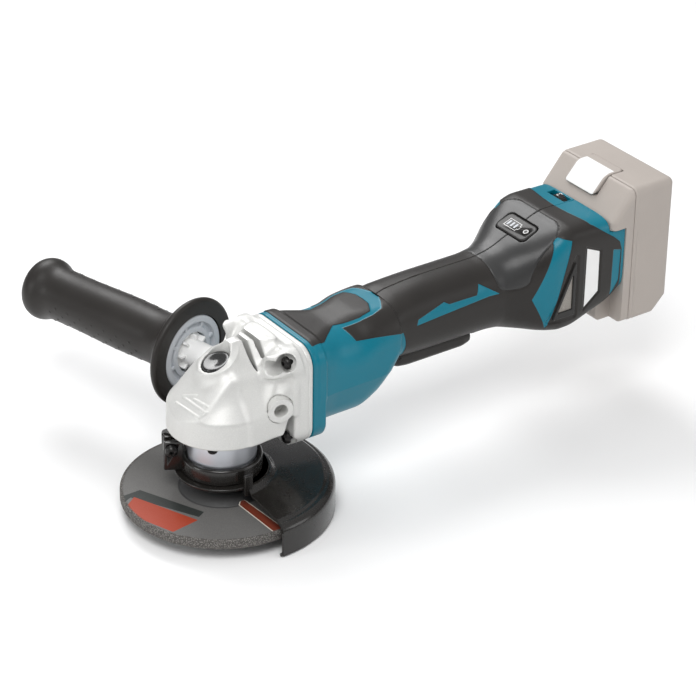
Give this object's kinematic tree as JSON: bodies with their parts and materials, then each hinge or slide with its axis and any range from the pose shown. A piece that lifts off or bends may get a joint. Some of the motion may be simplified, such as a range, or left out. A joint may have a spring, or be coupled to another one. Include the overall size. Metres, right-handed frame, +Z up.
{
  "type": "angle grinder",
  "caption": "Cordless angle grinder with a depressed-centre wheel, half guard, paddle switch grip, slide-on battery and a screw-in side handle.",
  "frame": {"origin": "centre of the threaded spindle's end face", "axes": "+Z up the spindle from the wheel into the gear housing, +X back along the motor and grip to the battery, the side handle leans out to +Y"},
  "size_m": [0.3829, 0.2588, 0.152],
  "materials": {
    "cast_housing": "cast, satin silver paint",
    "cast_neck": "machined and bead blasted",
    "steel": "turned and ground",
    "spring_steel": "drawn wire",
    "guard_steel": "black semi-gloss powder coat",
    "black_screws": "black oxide",
    "teal_plastic": "fine moulded grain",
    "grip_plastic": "soft overmould, fine grain",
    "grip_rubber": "matt",
    "black_plastic": "satin",
    "gloss_black": "glossy",
    "abrasive": "coarse resin-bonded grit",
    "copper_winding": "enamelled copper wire",
    "laminations": "stacked sheet",
    "white_plastic": "satin",
    "grey_ring": "satin",
    "screen_steel": "woven wire",
    "pack_plastic": "fine moulded grain",
    "cell_wrap": "shrink sleeve"
  },
  "bodies": {
    "tool_body": {"gear_housing": "cast_housing", "bearing_box": "cast_neck", "neck_screw_1": "black_screws", "neck_screw_2": "black_screws", "neck_screw_3": "black_screws", "neck_screw_4": "black_screws", "spindle_bearing": "steel", "bearing_retainer": "steel", "needle_bearing": "steel", "housing_screw_1": "black_screws", "housing_screw_2": "black_screws", "housing_screw_3": "black_screws", "housing_screw_4": "black_screws", "rotor_front_bearing": "steel", "rotor_rear_bearing": "steel", "bearing_plate": "cast_neck", "motor_housing": "teal_plastic", "stator_core": "laminations", "stator_winding": "copper_winding", "grip_half_left": "grip_plastic", "grip_half_right": "grip_plastic", "grip_screw_1": "black_screws", "grip_screw_2": "black_screws", "vent_frame_left": "black_plastic", "vent_frame_right": "black_plastic", "dust_screen_left": "screen_steel", "dust_screen_right": "screen_steel", "gauge_panel": "gloss_black", "controller": "black_plastic", "terminal_block": "black_plastic", "switch_unit": "black_plastic", "paddle_pin": "steel", "paddle_spring": "spring_steel", "lock_spring": "spring_steel"},
    "spindle_group": {"spindle": "steel", "inner_flange": "steel", "grinding_wheel": "abrasive", "lock_nut": "steel", "bevel_gear": "steel"},
    "rotor_group": {"rotor_shaft": "steel", "rotor_core": "laminations", "bevel_pinion": "steel", "cooling_fan": "black_plastic"},
    "guard_group": {"wheel_guard": "guard_steel", "guard_collar": "guard_steel", "guard_screw": "black_screws"},
    "shaft_lock": {"lock_button": "gloss_black"},
    "paddle": {"switch_paddle": "grip_plastic"},
    "lock_off": {"lock_off_lever": "black_plastic"},
    "plunger": {"switch_plunger": "white_plastic"},
    "dial": {"speed_dial": "black_plastic"},
    "check": {"check_button": "black_plastic"},
    "battery": {"battery_cover": "pack_plastic", "battery_case": "pack_plastic", "cell_pack": "cell_wrap"},
    "release": {"battery_release": "white_plastic"},
    "handle_stud": {"handle_core": "steel"},
    "side_handle": {"handle_grip": "grip_rubber", "handle_ring": "grey_ring", "handle_spacer": "white_plastic"}
  },
  "joints": [
    {"name": "spindle_spin", "type": "hinge", "parent": "tool_body", "child": "spindle_group", "pos_m": [0, 0, 0], "axis": [0, 0, 1], "continuous": true},
    {"name": "rotor_spin", "type": "hinge", "parent": "tool_body", "child": "rotor_group", "pos_m": [0, 0, 0.0684], "axis": [1, 0, 0], "continuous": true},
    {"name": "guard_turn", "type": "hinge", "parent": "tool_body", "child": "guard_group", "pos_m": [0, 0, 0.0195], "axis": [0, 0, 1], "range_deg": [-90, 90]},
    {"name": "shaft_lock_press", "type": "slide", "parent": "tool_body", "child": "shaft_lock", "axis": [0, 0, -1], "range_m": [0, 0.004], "stiffness_N_per_m": 400, "springref_m": -0.003, "deforming": ["lock_spring"]},
    {"name": "paddle_squeeze", "type": "hinge", "parent": "tool_body", "child": "paddle", "pos_m": [0.122, 0, 0.063], "axis": [0, -1, 0], "range_deg": [0, 6], "stiffness_Nm_per_rad": 2, "springref_deg": -2.86, "deforming": ["paddle_spring"]},
    {"name": "plunger_slide", "type": "slide", "parent": "tool_body", "child": "plunger", "axis": [0, 0, 1], "range_m": [0, 0.0036]},
    {"name": "lock_off_turn", "type": "hinge", "parent": "paddle", "child": "lock_off", "pos_m": [0.141, 0, 0.0606], "axis": [0, 1, 0], "range_deg": [0, 30], "stiffness_Nm_per_rad": 0.004, "springref_deg": -11.46},
    {"name": "speed_dial_turn", "type": "hinge", "parent": "tool_body", "child": "dial", "pos_m": [0.2645, 0.01, 0.119], "axis": [1, 0, 0], "range_deg": [0, 216]},
    {"name": "check_button_press", "type": "slide", "parent": "tool_body", "child": "check", "axis": [0.342, 0, -0.9397], "range_m": [0, 0.0006], "stiffness_N_per_m": 100, "springref_m": -0.0005},
    {"name": "battery_slide", "type": "slide", "parent": "tool_body", "child": "battery", "axis": [0, 0, 1], "range_m": [0, 0.085]},
    {"name": "battery_release_press", "type": "slide", "parent": "battery", "child": "release", "axis": [0, 0, -1], "range_m": [0, 0.003], "stiffness_N_per_m": 500, "springref_m": -0.002},
    {"name": "handle_unscrew", "type": "hinge", "parent": "handle_stud", "child": "side_handle", "pos_m": [0.0295, 0, 0.0684], "axis": [-0.2588, 0.9659, 0], "range_deg": [0, 2160]},
    {"name": "handle_back_out", "type": "slide", "parent": "tool_body", "child": "handle_stud", "axis": [-0.2588, 0.9659, 0], "range_m": [0, 0.0076]}
  ],
  "couplings": [
    {"joint": "rotor_spin", "follows": "spindle_spin", "ratio": 3.0833},
    {"joint": "plunger_slide", "follows": "paddle_squeeze", "m_per_rad": 0.033},
    {"joint": "handle_back_out", "follows": "handle_unscrew", "m_per_rad": 0.00019894}
  ]
}
